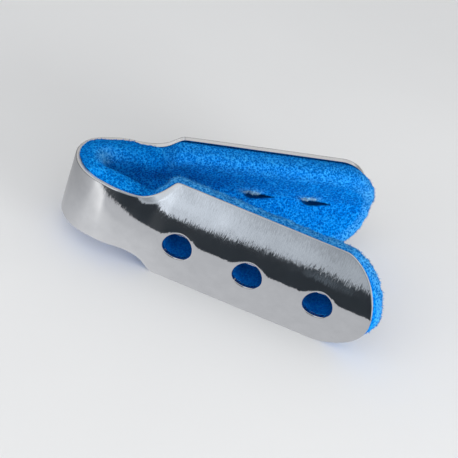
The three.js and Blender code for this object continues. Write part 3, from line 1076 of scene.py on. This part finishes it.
def floor_in_metal():
    """A glowing plane that paints the table as the metal sees it: painted light from the front left, with
    a painted glare towards the lamp.
    """
    material = bpy.data.materials.new("glowing_table_reflection")
    material.use_nodes = True
    nodes, links = material.node_tree.nodes, material.node_tree.links
    nodes.remove(nodes["Principled BSDF"])
    # The plane glows and no lamp lights it: its colour is painted light
    glow = nodes.new("ShaderNodeEmission")
    links.new(glow.outputs["Emission"], nodes["Material Output"].inputs["Surface"])
    place = nodes.new("ShaderNodeTexCoord").outputs["Object"]
    turned = nodes.new("ShaderNodeMapping")
    turned.vector_type = "TEXTURE"
    turned.inputs["Location"].default_value = [value * MM for value in GLARE_START]
    turned.inputs["Rotation"].default_value = (0, 0, GLARE_TURN)
    links.new(place, turned.inputs["Vector"])
    split = nodes.new("ShaderNodeSeparateXYZ")
    links.new(turned.outputs["Vector"], split.inputs["Vector"])
    ahead, aside = split.outputs["X"], split.outputs["Y"]
    low, high = TABLE_LEVELS[0]["aside"], TABLE_LEVELS[-1]["aside"]
    stops = []
    for row in TABLE_LEVELS:
        colour = tuple(row["level"] * tint for tint in TABLE_TINT)
        stops.append(((row["aside"] - low) / (high - low), colour))
    along = map_range(nodes, links, aside, (low * MM, high * MM))
    base = colour_ramp(nodes, links, along, stops)
    off = combined(nodes, links, "ABSOLUTE", aside)
    across = map_range(nodes, links, off, (0.0, GLARE_HALF_WIDTH * MM), (1.0, 0.0))
    bell = combined(nodes, links, "POWER", across, GLARE_POWER)
    onset = tuple(value * MM for value in GLARE_ONSET)
    onward = map_range(nodes, links, ahead, onset, (GLARE_AT_START, 1.0))
    glare = combined(nodes, links, "MULTIPLY", bell, onward)
    glare = combined(nodes, links, "MULTIPLY", glare, GLARE_LEVEL)
    links.new(blended(nodes, links, glare, base, (1.0, 1.0, 1.0)), glow.inputs["Color"])
    seen_in_metal_only(stage_plane("glowing_table_in_metal", TABLE_SIZE, TABLE_HEIGHT * MM, material))


def dark_wall():
    """The dark room beyond the table, seen in the metal alone: a painted dark reflection, darker to the
    right, with a painted light spot.
    """
    turns = np.linspace(-math.pi, math.pi, WALL_SIDES, endpoint=False)
    ring = np.stack([np.sin(turns) * WALL_RADIUS, -np.cos(turns) * WALL_RADIUS, np.zeros(WALL_SIDES)], 1)
    degrees = np.degrees(turns)
    higher = WALL_RISE * smoothstep(degrees, *WALL_RISE_FROM) * (1 - smoothstep(degrees, *WALL_RISE_TO))
    opening = smoothstep(degrees, *OPENING_FROM) * (1 - smoothstep(degrees, *OPENING_TO))
    top = ring.copy()
    top[:, 2] = lerp(WALL_TOP + higher, OPENING_TOP, opening)
    faces = [ring_faces(np.arange(2 * WALL_SIDES).reshape(2, WALL_SIDES))]
    wall = make_mesh("dark_wall", np.vstack([ring, top]), faces)
    material, nodes, links, shader = new_material("painted_dark_room")
    place = nodes.new("ShaderNodeTexCoord").outputs["Object"]
    split = nodes.new("ShaderNodeSeparateXYZ")
    links.new(place, split.inputs["Vector"])
    change = tuple(value * MM for value in WALL_CHANGE)
    rightward = map_range(nodes, links, split.outputs["X"], change)
    dark_room_colour = blended(nodes, links, rightward, WALL_LEFT_COLOUR, WALL_RIGHT_COLOUR)
    sphere = nodes.new("ShaderNodeMapping")
    sphere.vector_type = "TEXTURE"
    sphere.inputs["Location"].default_value = [value * MM for value in PALE_SPOT]
    sphere.inputs["Scale"].default_value = [value * MM for value in PALE_SPOT_SIZE]
    links.new(place, sphere.inputs["Vector"])
    from_middle = (sphere.outputs["Vector"],)
    away = operation_outputs(nodes, links, "ShaderNodeVectorMath", "LENGTH", from_middle)["Value"]
    spot = nodes.new("ShaderNodeMapRange")
    spot.interpolation_type = "SMOOTHSTEP"
    spot.inputs["From Min"].default_value = 1.0
    spot.inputs["From Max"].default_value = 0.0
    links.new(away, spot.inputs["Value"])
    spotted = blended(nodes, links, spot.outputs["Result"], dark_room_colour, PALE_SPOT_COLOUR)
    links.new(spotted, shader.inputs["Base Color"])
    shader.inputs["Roughness"].default_value = 1.0
    wall.data.materials.append(material)
    seen_in_metal_only(wall)


def sky():
    """Soft light from above. It is brightest on the left of the front and weak to the right of that."""
    world = bpy.data.worlds.new("studio")
    bpy.context.scene.world = world
    world.use_nodes = True
    nodes, links = world.node_tree.nodes, world.node_tree.links
    background = nodes["Background"]
    split = nodes.new("ShaderNodeSeparateXYZ")
    links.new(nodes.new("ShaderNodeTexCoord").outputs["Generated"], split.inputs["Vector"])
    forward = combined(nodes, links, "MULTIPLY", split.outputs["Y"], -1.0)
    turn = combined(nodes, links, "ARCTAN2", split.outputs["X"], forward)
    share = map_range(nodes, links, turn, (-math.pi, math.pi))
    links.new(colour_ramp(nodes, links, share, SKY_ROUND), background.inputs["Color"])
    strengths = [(at, (level, level, level)) for at, level in SKY_UP]
    strength = colour_ramp(nodes, links, split.outputs["Z"], strengths)
    links.new(strength, background.inputs["Strength"])


def aim(thing, target):
    direction = Vector(target) - thing.location
    thing.rotation_euler = direction.to_track_quat("-Z", "Y").to_euler()


def soft_light(name, size, energy, location):
    """A broad lamp that lights the foam and the table and stays out of the metal."""
    light = bpy.data.lights.new(name, "AREA")
    light.size = size
    light.energy = energy
    lamp = bpy.data.objects.new(name, light)
    lamp.location = location
    bpy.context.scene.collection.objects.link(lamp)
    aim(lamp, LAMPS_AIM)
    lamp.visible_glossy = False


def studio():
    bpy.context.scene.view_settings.view_transform = "Standard"
    floor()
    floor_in_metal()
    dark_wall()
    sky()
    for lamp in LAMPS:
        soft_light(**lamp)


# The camera, as the photograph was taken
CAMERA_AZIMUTH = math.radians(-9.37)
CAMERA_ELEVATION = math.radians(33.98)
CAMERA_ROLL = math.radians(20.11)
CAMERA_DISTANCE = 348.7
CAMERA_FOCAL_PIXELS = 1536.0
AIM_ALONG_X = 35.0  # from the outside of the bend to about the middle of the splint
CAMERA_AIM = (2.394, -2.672)  # right and up from there, in the picture's plane
PICTURE_SIDE = 458.0
SENSOR = 36.0


def camera():
    sin, cos = math.sin, math.cos
    back = Vector((sin(CAMERA_AZIMUTH) * cos(CAMERA_ELEVATION),
                   -cos(CAMERA_AZIMUTH) * cos(CAMERA_ELEVATION),
                   sin(CAMERA_ELEVATION)))
    level = Vector((cos(CAMERA_AZIMUTH), sin(CAMERA_AZIMUTH), 0))
    upright = back.cross(level)
    right = cos(CAMERA_ROLL) * level + sin(CAMERA_ROLL) * upright
    up = -sin(CAMERA_ROLL) * level + cos(CAMERA_ROLL) * upright
    target = Vector((AIM_ALONG_X, 0, 0)) + right * CAMERA_AIM[0] + up * CAMERA_AIM[1]
    target = target + Vector(ORIGIN)
    data = bpy.data.cameras.new("camera")
    data.sensor_width = SENSOR
    data.lens = CAMERA_FOCAL_PIXELS / PICTURE_SIDE * SENSOR
    data.clip_start = 0.01
    eye = bpy.data.objects.new("camera", data)
    turn = Matrix((right, up, back)).transposed().to_4x4()
    eye.matrix_world = Matrix.Translation((target + back * CAMERA_DISTANCE) * MM) @ turn
    bpy.context.scene.collection.objects.link(eye)
    bpy.context.scene.camera = eye


camera()
studio()

metal = build_metal()
metal.data.materials.append(aluminium_material())
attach(metal, "root")
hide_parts("metal_strip")

foam, foam_points, foam_normals, foam_shown, foam_fray_and_sheen = build_foam()
foam_look = foam_material()
foam.data.materials.append(foam_look)
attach(foam, "root")
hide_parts("foam_liner")

fuzz = build_fuzz(foam_points, foam_normals, foam_shown, foam_fray_and_sheen)
fuzz.data.materials.append(foam_look)
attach(fuzz, "root")
